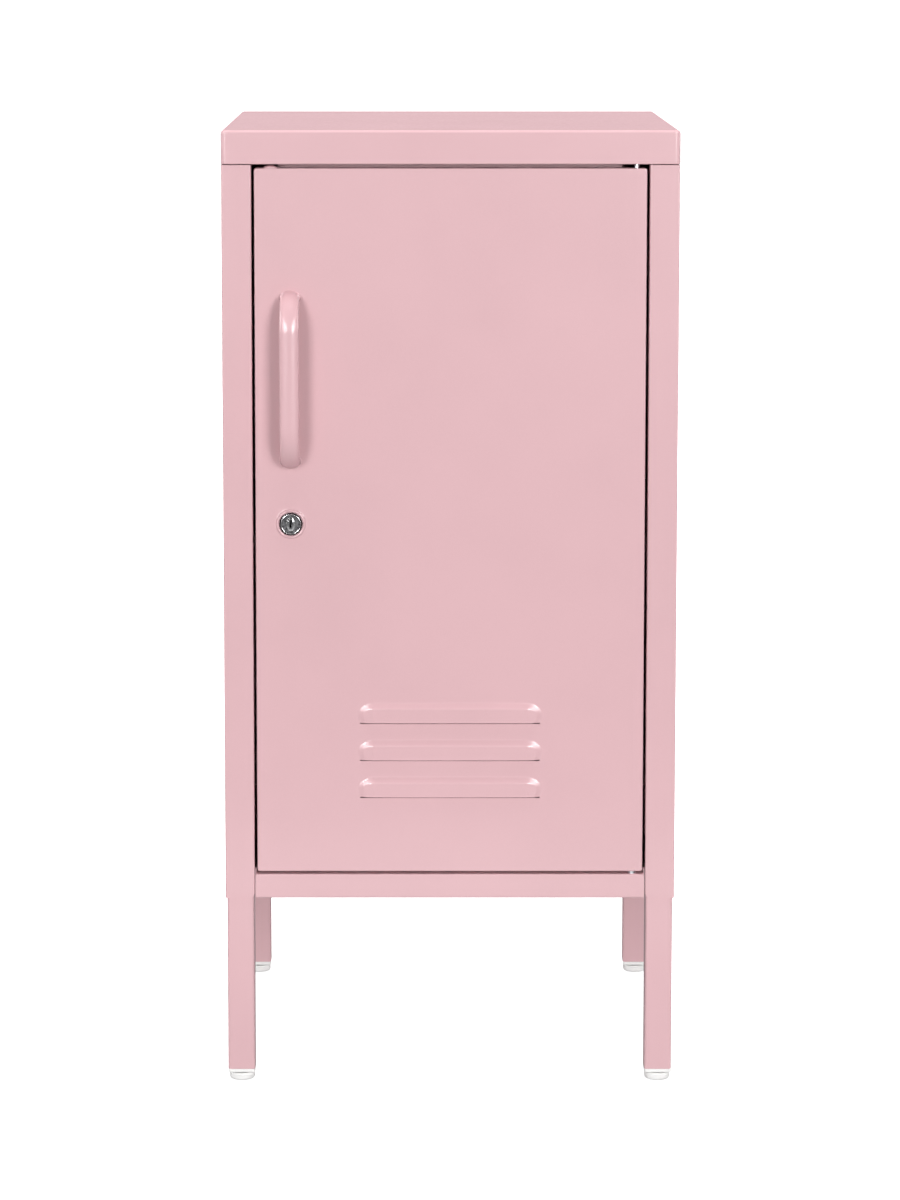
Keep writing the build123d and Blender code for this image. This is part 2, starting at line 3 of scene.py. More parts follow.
import bmesh
import bpy
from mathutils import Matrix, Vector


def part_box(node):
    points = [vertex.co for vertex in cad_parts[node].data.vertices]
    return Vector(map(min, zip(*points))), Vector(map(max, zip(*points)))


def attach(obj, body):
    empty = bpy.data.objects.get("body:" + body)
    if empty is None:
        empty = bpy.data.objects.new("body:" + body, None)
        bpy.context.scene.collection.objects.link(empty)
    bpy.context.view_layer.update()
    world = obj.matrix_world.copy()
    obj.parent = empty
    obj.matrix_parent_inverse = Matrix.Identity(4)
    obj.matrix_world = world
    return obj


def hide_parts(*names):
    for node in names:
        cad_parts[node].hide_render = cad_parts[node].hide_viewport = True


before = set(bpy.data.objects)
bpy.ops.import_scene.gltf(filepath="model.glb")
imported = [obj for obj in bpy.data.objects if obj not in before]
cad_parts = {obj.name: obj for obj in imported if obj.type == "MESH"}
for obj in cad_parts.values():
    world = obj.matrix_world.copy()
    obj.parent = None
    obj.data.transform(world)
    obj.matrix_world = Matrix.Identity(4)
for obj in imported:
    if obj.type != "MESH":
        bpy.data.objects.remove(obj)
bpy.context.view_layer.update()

# A pink steel locker cabinet. Shapes are worked out in millimetres in the frame of the CAD model
# and turned into metres when a mesh is made.
MM = 0.001
KEEP, CUT, PATCH = 0, 1, 2


def limits(node):
    """Low and high corner of a CAD node, in millimetres."""
    low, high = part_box(node)
    return [value / MM for value in low], [value / MM for value in high]


# ---- Measures from the frame ------------------------------------------------------------------
cap_low, cap_high = limits("top_panel")
side_low, side_high = limits("left_side_panel")
back_low, back_high = limits("back_panel")
bottom_low, bottom_high = limits("bottom_panel")
door_low, door_high = limits("door_panel")
handle_low, handle_high = limits("handle")
rim_low, rim_high = limits("lock_rim")
flange_low = limits("lock_housing")[0]
plug_low, plug_high = limits("lock_plug")
shutter_low, shutter_high = limits("lock_shutter")
shelf_low, shelf_high = limits("shelf")
buffer_low, buffer_high = limits("door_buffer")

sheet_thickness = 1.2
body_front = side_low[1]
body_half = -side_low[0]
opening_half = -side_high[0]
body_bottom = side_low[2]
cap_bottom = cap_low[2]
floor_top = bottom_high[2]
back_inner = side_high[1]
leg_top = limits("leg_front_left")[1][2]
door_half = door_high[0]
door_bottom = door_low[2]
door_top = door_high[2]
door_back = door_high[1]
lock_x = (rim_low[0] + rim_high[0]) / 2
lock_z = (rim_low[2] + rim_high[2]) / 2
corners = ("front_left", "front_right", "rear_left", "rear_right")


# ---- Mesh helpers -----------------------------------------------------------------------------
class Shell:
    """Points and faces of one piece, in millimetres."""

    def __init__(self):
        self.points = []
        self.faces = []

    def add(self, points):
        first = len(self.points)
        self.points.extend(points)
        return list(range(first, len(self.points)))

    def face(self, *indices):
        self.faces.append(indices)

    def bridge(self, a, b):
        """Quads between two closed loops of the same length."""
        for i in range(len(a)):
            j = (i + 1) % len(a)
            self.face(a[i], a[j], b[j], b[i])

    def loft(self, loops, close=False):
        """Bridges a row of loops. The two ends are capped, or joined to each other if close is set."""
        rows = [self.add(loop) for loop in loops]
        for a, b in zip(rows, rows[1:]):
            self.bridge(a, b)
        if close:
            self.bridge(rows[-1], rows[0])
        else:
            self.face(*rows[0])
            self.face(*reversed(rows[-1]))


def sheet(shell, outer, inner, state, border):
    """Faces two matching grids of points where state says KEEP, with a rim at each side of a kept
    cell whose neighbour is CUT. Border is the state outside the grid."""
    rows, columns = len(outer), len(outer[0])
    out = [shell.add(row) for row in outer]
    inn = [shell.add(row) for row in inner]

    def at(i, j):
        inside = 0 <= i < rows - 1 and 0 <= j < columns - 1
        return state(i, j) if inside else border

    for i in range(rows - 1):
        for j in range(columns - 1):
            if at(i, j) != KEEP:
                continue
            shell.face(out[i][j], out[i][j + 1], out[i + 1][j + 1], out[i + 1][j])
            shell.face(inn[i][j], inn[i + 1][j], inn[i + 1][j + 1], inn[i][j + 1])
            sides = (
                ((i - 1, j), (i, j), (i, j + 1)),
                ((i + 1, j), (i + 1, j), (i + 1, j + 1)),
                ((i, j - 1), (i, j), (i + 1, j)),
                ((i, j + 1), (i, j + 1), (i + 1, j + 1)),
            )
            for neighbour, (a, b), (c, d) in sides:
                if at(*neighbour) == CUT:
                    shell.face(out[a][b], out[c][d], inn[c][d], inn[a][b])


def arc(centre_a, centre_b, radius, start, end, steps):
    """Points of an arc in a plane, between two angles in degrees."""
    found = []
    for k in range(steps + 1):
        angle = math.radians(start + (end - start) * k / steps)
        found.append((centre_a + radius * math.cos(angle), centre_b + radius * math.sin(angle)))
    return found


def rounded_rectangle(a0, a1, b0, b1, radius, steps=6):
    """Outline of a rectangle with round corners. A radius of zero keeps the number of points."""
    r = max(radius, 0.0)
    outline = arc(a1 - r, b0 + r, r, -90, 0, steps)
    outline += arc(a1 - r, b1 - r, r, 0, 90, steps)
    outline += arc(a0 + r, b1 - r, r, 90, 180, steps)
    outline += arc(a0 + r, b0 + r, r, 180, 270, steps)
    return outline


def ring_z(x, y, radius, z, count):
    turn = 2 * math.pi / count
    return [(x + radius * math.cos(k * turn), y + radius * math.sin(k * turn), z)
            for k in range(count)]


def ring_y(x, z, radius, y, count):
    turn = 2 * math.pi / count
    return [(x + radius * math.cos(k * turn), y, z + radius * math.sin(k * turn))
            for k in range(count)]


def bent_path(corner_points, radius, steps=5):
    """A path that only turns right, with its corners rounded: (a, b, normal a, normal b) for each
    point. The normal points to the right of the path, where the metal's thickness goes."""
    path = []
    last = len(corner_points) - 1
    for k, (a, b) in enumerate(corner_points):
        if k > 0:
            before = corner_points[k - 1]
            length = math.hypot(a - before[0], b - before[1])
            come = ((a - before[0]) / length, (b - before[1]) / length)
        if k < last:
            after = corner_points[k + 1]
            length = math.hypot(after[0] - a, after[1] - b)
            leave = ((after[0] - a) / length, (after[1] - b) / length)
        if k in (0, last):
            heading = leave if k == 0 else come
            path.append((a, b, heading[1], -heading[0]))
            continue
        centre_a = a - come[0] * radius + leave[0] * radius
        centre_b = b - come[1] * radius + leave[1] * radius
        start = math.atan2(-come[0], come[1])
        for step in range(steps + 1):
            angle = start - math.pi / 2 * step / steps
            normal = (math.cos(angle), math.sin(angle))
            path.append((centre_a - normal[0] * radius, centre_b - normal[1] * radius, *normal))
    return path


def finish_mesh(obj, smooth_angle):
    """Welds the mesh, turns its normals outwards and marks edges sharper than the angle."""
    mesh = obj.data
    work = bmesh.new()
    work.from_mesh(mesh)
    bmesh.ops.remove_doubles(work, verts=work.verts, dist=2e-7)
    bmesh.ops.dissolve_degenerate(work, edges=work.edges, dist=1e-7)
    bmesh.ops.recalc_face_normals(work, faces=work.faces)
    loose = [v for v in work.verts if not v.link_faces]
    bmesh.ops.delete(work, geom=loose, context="VERTS")
    work.to_mesh(mesh)
    work.free()
    mesh.polygons.foreach_set("use_smooth", [True] * len(mesh.polygons))
    mesh.set_sharp_from_angle(angle=math.radians(smooth_angle))
    mesh.update()


def weigh_normals(obj):
    """Keeps large flat faces flat in the shading, next to small roundings."""
    modifier = obj.modifiers.new("weighted normals", "WEIGHTED_NORMAL")
    modifier.keep_sharp = True


def new_object(name, shell):
    mesh = bpy.data.meshes.new(name)
    mesh.from_pydata([(x * MM, y * MM, z * MM) for x, y, z in shell.points], [], shell.faces)
    obj = bpy.data.objects.new(name, mesh)
    bpy.context.scene.collection.objects.link(obj)
    return obj


def drill(obj, cutter_shell):
    """Takes the cutter's shape out of a piece."""
    cutter = new_object("cutter", cutter_shell)
    finish_mesh(cutter, 30)
    finish_mesh(obj, 30)
    modifier = obj.modifiers.new("holes", "BOOLEAN")
    modifier.operation = "DIFFERENCE"
    modifier.object = cutter
    bpy.context.view_layer.update()
    shown = obj.evaluated_get(bpy.context.evaluated_depsgraph_get())
    drilled = bpy.data.meshes.new_from_object(shown)
    obj.modifiers.clear()
    obj.data = drilled
    bpy.data.objects.remove(cutter)


def piece(name, shell, material, body, replaced, smooth_angle=35, holes=None):
    """Makes a piece that rides on a body and stands for the CAD nodes that it replaces."""
    obj = new_object(name, shell)
    if holes is not None:
        drill(obj, holes)
    finish_mesh(obj, smooth_angle)
    obj.data.materials.append(material)
    weigh_normals(obj)
    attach(obj, body)
    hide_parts(*replaced)
    return obj


# ---- Materials --------------------------------------------------------------------------------
def start_material(name):
    material = bpy.data.materials.new(name)
    material.use_nodes = True
    tree = material.node_tree
    shader = tree.nodes["Principled BSDF"]
    place = tree.nodes.new("ShaderNodeTexCoord").outputs["Object"]
    return material, tree, shader, place


def noise(tree, place, scale, detail=2.0, stretch=None):
    if stretch is not None:
        mapping = tree.nodes.new("ShaderNodeMapping")
        mapping.inputs["Scale"].default_value = stretch
        tree.links.new(place, mapping.inputs["Vector"])
        place = mapping.outputs["Vector"]
    node = tree.nodes.new("ShaderNodeTexNoise")
    node.inputs["Scale"].default_value = scale
    node.inputs["Detail"].default_value = detail
    tree.links.new(place, node.inputs["Vector"])
    return node.outputs["Fac"]


def ramp(tree, value, stops):
    """A colour ramp: stops are (position, colour)."""
    node = tree.nodes.new("ShaderNodeValToRGB")
    elements = node.color_ramp.elements
    while len(elements) < len(stops):
        elements.new(0.5)
    for element, (position, colour) in zip(elements, stops):
        element.position = position
        element.color = (*colour, 1.0)
    tree.links.new(value, node.inputs["Fac"])
    return node.outputs["Color"]


def spread(tree, value, low, high):
    """Maps noise, which stays near its middle, to a range."""
    node = tree.nodes.new("ShaderNodeMapRange")
    node.inputs["From Min"].default_value = 0.3
    node.inputs["From Max"].default_value = 0.7
    node.inputs["To Min"].default_value = low
    node.inputs["To Max"].default_value = high
    tree.links.new(value, node.inputs["Value"])
    return node.outputs["Result"]


def bump(tree, shader, heights):
    """Stacks bumps: heights are (value, strength, distance in metres)."""
    normal = None
    for value, strength, distance in heights:
        node = tree.nodes.new("ShaderNodeBump")
        node.inputs["Strength"].default_value = strength
        node.inputs["Distance"].default_value = distance
        tree.links.new(value, node.inputs["Height"])
        if normal is not None:
            tree.links.new(normal, node.inputs["Normal"])
        normal = node.outputs["Normal"]
    tree.links.new(normal, shader.inputs["Normal"])


def shade(colour, factor):
    return tuple(min(1.0, channel * factor) for channel in colour)


def powder_coat(name, colour):
    """Satin powder coat: a faint orange peel, a fine grain and slightly uneven tone."""
    material, tree, shader, place = start_material(name)
    cloud = noise(tree, place, 9.0, 3.0)
    grain = noise(tree, place, 1500.0, 2.0)
    peel = noise(tree, place, 420.0, 1.5)
    blotch = tree.nodes.new("ShaderNodeMix")
    blotch.data_type = "FLOAT"
    blotch.inputs[0].default_value = 0.35
    tree.links.new(cloud, blotch.inputs[2])
    tree.links.new(grain, blotch.inputs[3])
    tone = ramp(tree, blotch.outputs[0], [
        (0.30, shade(colour, 0.965)),
        (0.50, colour),
        (0.70, shade(colour, 1.03)),
    ])
    tree.links.new(tone, shader.inputs["Base Color"])
    tree.links.new(spread(tree, peel, 0.23, 0.27), shader.inputs["Roughness"])
    shader.inputs["Specular IOR Level"].default_value = 0.6
    bump(tree, shader, [(peel, 0.15, 0.00006), (grain, 0.12, 0.00003)])
    return material


def metal(name, colour, dark, roughness, scratch=(1.0, 1.0, 1.0), scale=900.0, strength=0.15):
    """Plated metal with a mottled tone and fine marks, which stretch scales along each axis."""
    material, tree, shader, place = start_material(name)
    patches = noise(tree, place, scale * 0.35, 4.0)
    marks = noise(tree, place, scale, 3.0, scratch)
    tone = ramp(tree, patches, [(0.32, dark), (0.68, colour)])
    tree.links.new(tone, shader.inputs["Base Color"])
    tree.links.new(spread(tree, marks, roughness * 0.8, roughness * 1.25), shader.inputs["Roughness"])
    shader.inputs["Metallic"].default_value = 1.0
    bump(tree, shader, [(marks, strength, 0.00004)])
    return material


def plastic(name, colour, roughness, scale=700.0):
    """Moulded plastic with a fine spark-eroded texture."""
    material, tree, shader, place = start_material(name)
    cloud = noise(tree, place, 60.0, 3.0)
    grain = noise(tree, place, scale, 2.0)
    tone = ramp(tree, cloud, [(0.3, shade(colour, 0.94)), (0.7, shade(colour, 1.02))])
    tree.links.new(tone, shader.inputs["Base Color"])
    tree.links.new(spread(tree, grain, roughness * 0.85, roughness * 1.15), shader.inputs["Roughness"])
    bump(tree, shader, [(grain, 0.2, 0.00005)])
    return material


pink = powder_coat("pink_powder_coat", (0.655, 0.413, 0.440))
chrome = metal("bright_chrome", (0.86, 0.86, 0.87), (0.70, 0.70, 0.72), 0.16, strength=0.05)
black_zinc = metal("black_zinc", (0.035, 0.030, 0.032), (0.012, 0.010, 0.011), 0.30)
dark_zinc = metal("dark_zinc", (0.17, 0.17, 0.175), (0.045, 0.045, 0.048), 0.38, scale=1400.0,
                  strength=0.35)
zinc = metal("zinc_steel", (0.74, 0.74, 0.76), (0.52, 0.53, 0.56), 0.32, (1.0, 1.0, 5.0))
ferrite = metal("ferrite", (0.12, 0.115, 0.115), (0.07, 0.07, 0.072), 0.62, strength=0.5)
white_plastic = plastic("white_plastic", (0.83, 0.82, 0.81), 0.42)
bush_plastic = plastic("bush_plastic", (0.74, 0.73, 0.70), 0.45)
catch_plastic = plastic("catch_plastic", (0.78, 0.77, 0.74), 0.40)
# near black for the faces deep inside the keyway: painted shade standing in for the dark of the slot
keyway_painted_shade = plastic("keyway_dark", (0.012, 0.012, 0.013), 0.5)


# ---- Sheet-metal pans -------------------------------------------------------------------------
def pan(outer_box, z_top, z_bottom, corner, edge, lip, hem=0.0):
    """A shallow pan, open downwards, from one sheet: flat top, folded sides and an optional lip
    folded inwards. The edge radius is at the top, and the hem radius at the lower edge."""
    x0, x1, y0, y1 = outer_box
    t = sheet_thickness

    def loop(inset, z):
        outline = rounded_rectangle(x0 + inset, x1 - inset, y0 + inset, y1 - inset, corner - inset)
        return [(x, y, z) for x, y in outline]

    loops = [loop(edge, z_top)]
    for a, b in arc(edge, z_top - edge, edge, 90, 180, 6)[1:]:
        loops.append(loop(a, b))
    if lip:
        for a, b in arc(hem, z_bottom + hem, hem, 180, 270, 4):
            loops.append(loop(a, b))
        loops.append(loop(lip, z_bottom))
        loops.append(loop(lip, z_bottom + t))
        loops.append(loop(t, z_bottom + t))
    else:
        loops.append(loop(0, z_bottom))
        loops.append(loop(t, z_bottom))
    inner_edge = max(edge - t, 0.2)
    for a, b in arc(t + inner_edge, z_top - t - inner_edge, inner_edge, 180, 90, 3):
        loops.append(loop(a, b))
    shell = Shell()
    shell.loft(loops)
    return shell


cap_shell = pan((cap_low[0], cap_high[0], cap_low[1], cap_high[1]), cap_high[2], cap_bottom,
                corner=4.0, edge=2.4, lip=15.0, hem=0.8)
piece("cap", cap_shell, pink, "cabinet", ["top_panel"])

shelf_shell = pan((shelf_low[0], shelf_high[0], shelf_low[1], shelf_high[1]), shelf_high[2],
                  shelf_low[2], corner=1.6, edge=1.4, lip=0.0)
piece("shelf_tray", shelf_shell, pink, "cabinet", ["shelf"])


# ---- Side panels ------------------------------------------------------------------------------
fold_radius = 1.2
post_depth = 21.0
post_lip = 8.0
foot_corner = 4.3
ledge_width = 14.0
cap_seam = 0.6
head_radius = 4.6
head_depth = 2.0
head_clearance = 0.75
screw_hole_radius = 2.7
screw_hole_depth = 6.0
leg_screw_heights = (14.0, 34.0)
notch_clearance = 2
touch = 0.01


def side_panel(name, node, side):
    """Wall, front post with its return, rear flange and the ledge under the cap, from one sheet.
    The left panel is worked out, and the right one is its mirror image."""
    t = sheet_thickness
    post_back = body_front + post_depth
    path = bent_path([
        (-opening_half - t - post_lip, post_back),
        (-opening_half, post_back),
        (-opening_half, body_front),
        (-body_half, body_front),
        (-body_half, back_inner),
        (-opening_half, back_inner),
    ], fold_radius)
    bend_end = next(k for k, p in enumerate(path)
                    if p[1] < body_front + fold_radius + touch and p[0] > -opening_half - touch)
    face_start = next(k for k, p in enumerate(path) if p[1] < body_front + 0.001)
    steps = 8
    extra = []
    for k in range(1, steps + 1):
        x = -opening_half - fold_radius - (foot_corner - fold_radius) * k / steps
        extra.append((x, body_front, 0.0, 1.0))
    path = path[:face_start + 1] + extra + path[face_start + 1:]

    def lowest(p):
        """The face's lower corner is rounded where it meets the rail."""
        reach = p[0] + opening_half + foot_corner
        if p[1] > body_front + fold_radius + touch or reach <= 0:
            return body_bottom
        return body_bottom + foot_corner - math.sqrt(max(foot_corner ** 2 - reach ** 2, 0.0))

    notch_top = leg_top + notch_clearance
    row_below = 40
    levels = (notch_top - row_below, notch_top, cap_bottom - cap_seam)
    outer, inner = [], []
    for p in path:
        heights = (lowest(p), *levels)
        outer.append([(-side * p[0], p[1], z) for z in heights])
        inner.append([(-side * (p[0] + p[2] * t), p[1] + p[3] * t, z) for z in heights])

    def state(i, j):
        return CUT if i < bend_end and j < 2 else KEEP

    shell = Shell()
    sheet(shell, outer, inner, state, CUT)
    ledge = []
    for x, z in ((body_half - t, cap_bottom - t), (body_half - t, cap_bottom),
                 (body_half - ledge_width, cap_bottom), (body_half - ledge_width, cap_bottom - t)):
        ledge.append((side * x, z))
    start, end = body_front + post_depth, back_inner - t
    shell.loft([[(x, y, z) for x, z in ledge] for y in (start, end)])

    # countersunk holes for the leg screws: (radius, distance outside the wall)
    outside = 0.6
    profile = ((0.0, outside), (head_radius + head_clearance, outside),
               (screw_hole_radius, -head_depth), (screw_hole_radius, -screw_hole_depth),
               (0.0, -screw_hole_depth))
    count = 48
    wall = side * body_half
    holes = Shell()
    for corner in corners:
        low, high = limits(f"leg_{corner}")
        if low[0] * side < 0:
            continue
        y = (low[1] + high[1]) / 2
        for height in leg_screw_heights:
            z = body_bottom + height
            loops = []
            for radius, out in profile:
                loops.append([(wall + side * out, a, b)
                              for a, b in arc(y, z, radius, 0, 360 - 360 / count, count - 1)])
            holes.loft(loops)
    return piece(name, shell, pink, "cabinet", [node], holes=holes)


side_panel("side_left", "left_side_panel", -1)
side_panel("side_right", "right_side_panel", 1)


# ---- Back panel, floor and rail ---------------------------------------------------------------
def back_sheet():
    """A flat sheet with softened edges and two wall-fixing holes."""
    shell = Shell()
    softening = 0.35
    corner = 2.0
    fixing_x = 110.0
    fixing_z = 690.0
    fixing_radius = 3.25
    beyond = 1.0
    loops = []
    for inset, y in ((softening, back_low[1]), (0.0, back_low[1] + softening),
                     (0.0, back_high[1] - softening), (softening, back_high[1])):
        outline = rounded_rectangle(back_low[0] + inset, back_high[0] - inset,
                                    back_low[2] + inset, back_high[2] - inset, corner)
        loops.append([(x, y, z) for x, z in outline])
    shell.loft(loops)
    holes = Shell()
    for side in (-1, 1):
        holes.loft([ring_y(side * fixing_x, fixing_z, fixing_radius, y, 40)
                    for y in (back_low[1] - beyond, back_high[1] + beyond)])
    return piece("back_sheet", shell, pink, "cabinet", ["back_panel"],
                 holes=holes)


back_sheet()


def floor_pan():
    """Rail, floor and rear flange folded from one sheet, notched around the four legs."""
    t = sheet_thickness
    front, rear = bottom_low[1], bottom_high[1]
    bottom = bottom_low[2]
    rail_lip = 9.0
    rail_seam = 0.8
    rail_half = opening_half - rail_seam
    rail_corner = 2.0
    rail_end = 3.5
    notch = 22.5
    tall_run = 5
    long_run = 50
    wide = bottom_high[0]
    narrow = wide - notch
    path = bent_path([
        (front + t + rail_lip, bottom),
        (front, bottom),
        (front, floor_top),
        (rear, floor_top),
        (rear, bottom),
    ], fold_radius)
    split = []
    for k, p in enumerate(path):
        split.append(p)
        after = path[min(k + 1, len(path) - 1)]
        if p[0] < front + touch and after[1] > p[1] + tall_run:
            split.append((p[0], floor_top - rail_corner, p[2], p[3]))
        if abs(p[1] - floor_top) < touch and after[0] > p[0] + long_run:
            for y in (front + rail_end, front + t + notch, rear - notch):
                split.append((y, p[1], p[2], p[3]))
    path = split

    def half_width(p):
        if p[0] > front + rail_end - 0.1:
            return narrow
        above = p[1] - (floor_top - rail_corner)
        if above <= 0:
            return rail_half
        return rail_half - rail_corner + math.sqrt(max(rail_corner ** 2 - above ** 2, 0.0))

    outer, inner = [], []
    for p in path:
        half = half_width(p)
        columns = (-wide, -half, -half * 0.3, half * 0.3, half, wide)
        outer.append([(x, p[0], p[1]) for x in columns])
        inner.append([(x, p[0] + p[2] * t, p[1] + p[3] * t) for x in columns])
    wing = [k for k, p in enumerate(path)
            if abs(p[1] - floor_top) < touch
            and front + t + notch - touch < p[0] < rear - notch - touch]

    def state(i, j):
        return KEEP if 1 <= j <= 3 or i in wing else CUT

    shell = Shell()
    sheet(shell, outer, inner, state, CUT)
    for side in (-1, 1):
        outline = [(side * wide, bottom), (side * wide, floor_top - t),
                   (side * (wide - t), floor_top - t), (side * (wide - t), bottom)]
        shell.loft([[(x, y, z) for x, z in outline]
                    for y in (front + t + notch, rear - notch)])
    return piece("floor_and_rail", shell, pink, "cabinet", ["bottom_panel"])


floor_pan()


# ---- Legs and feet ----------------------------------------------------------------------------
tube_corner = 2.2


def square_loop(low, high, inset, corner, z, steps=6):
    outline = rounded_rectangle(low[0] + inset, high[0] - inset, low[1] + inset, high[1] - inset,
                                corner - inset, steps)
    return [(x, y, z) for x, y in outline]


def leg_tube(corner):
    """A square tube with rounded corners and a softened cut end."""
    low, high = limits(f"leg_{corner}")
    wall = 1.5
    soft = 0.25
    shell = Shell()
    shell.loft([
        square_loop(low, high, 0.0, tube_corner, high[2]),
        square_loop(low, high, 0.0, tube_corner, low[2] + soft),
        square_loop(low, high, soft, tube_corner, low[2]),
        square_loop(low, high, wall, tube_corner, low[2]),
        square_loop(low, high, wall, tube_corner, high[2]),
    ], close=True)
    return piece(f"leg_tube_{corner}", shell, pink, "cabinet", [f"leg_{corner}"])


def end_plug(corner):
    """A moulded plug: a flange as wide as the leg, a plain insert with a lead-in and a bore for the
    stud.
    """
    low, high = limits(f"leg_plug_{corner}")
    leg_low = limits(f"leg_{corner}")[0]
    middle = ((low[0] + high[0]) / 2, (low[1] + high[1]) / 2)
    bore = 3.05
    flange_top = leg_low[2]
    insert = 1.6
    lead_in = 0.8
    soft = 0.7
    flange_soft = 0.3
    chamfer = 0.5
    count = 28
    turn = 2 * math.pi / count

    def bore_loop(radius, z):
        # starts near the same corner as the square loops, so that the faces between don't twist
        found = []
        for k in range(count):
            angle = -math.pi / 4 - math.pi / 8 + k * turn
            found.append((middle[0] + radius * math.cos(angle),
                          middle[1] + radius * math.sin(angle), z))
        return found

    loops = [bore_loop(bore, high[2]), bore_loop(bore, low[2] + chamfer),
             bore_loop(bore + chamfer, low[2])]
    loops.append(square_loop(low, high, soft, tube_corner, low[2]))
    for a, b in arc(soft, low[2] + soft, soft, 250, 180, 3):
        loops.append(square_loop(low, high, a, tube_corner, b))
    loops.append(square_loop(low, high, 0.0, tube_corner, flange_top - flange_soft))
    loops.append(square_loop(low, high, flange_soft, tube_corner, flange_top))
    loops.append(square_loop(low, high, insert, tube_corner, flange_top))
    loops.append(square_loop(low, high, insert, tube_corner, high[2] - 1.0))
    loops.append(square_loop(low, high, insert + lead_in, 3.0, high[2]))
    shell = Shell()
    shell.loft(loops, close=True)
    return piece(f"end_plug_{corner}", shell, white_plastic, "cabinet", [f"leg_plug_{corner}"])


def glide(corner):
    """A round glide: soft lower rim, a shallow waist and a raised boss around the stud."""
    low, high = limits(f"foot_pad_{corner}")
    x, y = (low[0] + high[0]) / 2, (low[1] + high[1]) / 2
    radius = (high[0] - low[0]) / 2
    bottom, top = low[2], high[2]
    profile = [(0.0, bottom), (radius - 3.4, bottom)]
    profile += arc(radius - 2.4, bottom + 2.4, 2.4, 270, 360, 7)
    profile += [(radius, top - 1.6), (radius - 0.35, top - 1.3)]
    profile += arc(radius - 1.15, top - 0.8, 0.8, 0, 90, 4)
    profile += [(radius - 3.2, top), (radius - 3.5, top - 0.5), (5.0, top - 0.5), (4.8, top),
                (3.0, top), (3.0, top - 3.4), (0.0, top - 3.4)]
    shell = Shell()
    shell.loft([ring_z(x, y, r, z, 56) for r, z in profile])
    return piece(f"glide_{corner}", shell, white_plastic, f"foot_{corner}",
                 [f"foot_pad_{corner}"], smooth_angle=40)


def threaded_stud(corner):
    """A stud with a cut thread."""
    low, high = limits(f"foot_stud_{corner}")
    x, y = (low[0] + high[0]) / 2, (low[1] + high[1]) / 2
    radius = (high[0] - low[0]) / 2
    pitch = 1.0
    thread_depth = 0.45
    crest = 1.3
    tip_length = 0.9
    tip_cut = 0.7
    count = 24
    rows = 6
    length = high[2] - low[2]
    loops = []
    steps = int(length / pitch * rows)
    for step in range(steps + 1):
        z = low[2] + length * step / steps
        taper = max(0.0, 1.0 - (high[2] - z) / tip_length)
        loop = []
        for k in range(count):
            turn = k / count
            phase = (z / pitch - turn) % 1.0
            height = 1.0 - abs(2.0 * phase - 1.0)
            r = radius - thread_depth * (1.0 - min(1.0, height * crest)) - tip_cut * taper
            angle = 2 * math.pi * turn
            loop.append((x + r * math.cos(angle), y + r * math.sin(angle), z))
        loops.append(loop)
    shell = Shell()
    shell.loft(loops)
    return piece(f"threaded_stud_{corner}", shell, zinc, f"foot_{corner}",
                 [f"foot_stud_{corner}"], smooth_angle=50)


for corner in corners:
    leg_tube(corner)
    end_plug(corner)
    glide(corner)
    threaded_stud(corner)


# ---- Door -------------------------------------------------------------------------------------
door_corner = 1.8
door_fold = 1.0
door_lip = 16.2
louvre_half = 72.0
louvre_height = 15.9
louvre_depth = body_front - door_low[1]
louvre_band = 5.4
louvre_corner = (12.4, 9.7)
louvre_lips = (227.7, 256.95, 286.2)
louvre_slot_half = 69.6
louvre_gap = 0.9
louvre_ease = 0.24
end_length = 16.0
end_fullness = 0.42
end_gain = 0.58
grid_columns = (40.0, 20.0)
far_column = 110.0
grid_rows = [360.0, 550.0, 640.0]
patch_half = 14.0
patch_steps = 6
bore_radius = 8.1


def hood(x, above):
    """How far a louvre stands out, at a place across it and a height above its lip."""
    corner_x, corner_z = louvre_corner
    centre_x = louvre_half - corner_x
    centre_z = louvre_height - corner_z
    across = abs(x) - centre_x
    up = above - centre_z
    if above < 0 or above > louvre_height:
        return 0.0
    if up > 0 and across > 0:
        reach = math.hypot(across / corner_x, up / corner_z)
        inside = (1 - reach) / reach * math.hypot(across, up)
    elif up > 0:
        inside = louvre_height - above
    else:
        drawn_in = 2.0 * (up / centre_z) ** 2
        inside = corner_x - drawn_in - across
        if across <= 0:
            inside = louvre_height
    t = min(max(inside / louvre_band, 0.0), 1.0)
    ease = louvre_ease
    if t < ease:
        share = t * t / (2 * ease * (1 - ease))
    elif t > 1 - ease:
        share = 1 - (1 - t) ** 2 / (2 * ease * (1 - ease))
    else:
        share = (t - ease / 2) / (1 - ease)
    from_end = min(max((louvre_half - abs(x)) / end_length, 0.0), 1.0)
    fullness = end_fullness + end_gain * from_end * from_end * (3 - 2 * from_end)
    return louvre_depth * share * fullness


def spaced(start, end, step):
    """Evenly spaced values from start to end, no further apart than step."""
    count = max(1, math.ceil(abs(end - start) / step - 1e-6))
    return [start + (end - start) * k / count for k in range(count + 1)]


def merged(values, nearest=0.05):
    """Sorted values without near repeats."""
    kept = []
    for value in sorted(values):
        if not kept or value - kept[-1] > nearest:
            kept.append(value)
    return kept


def collar_profile():
    """Radius and height of the pressed ring around the lock, from outside to inside."""
    return [(13.2, 0.0), (12.2, 0.0), (11.75, 0.06), (11.45, 0.28), (11.2, 0.62), (10.9, 0.95),
            (10.55, 1.2), (10.2, 1.3), (9.85, 1.24), (9.5, 1.02), (9.25, 0.68), (9.1, 0.3),
            (9.0, 0.05), (8.8, 0.0), (bore_radius, 0.0)]


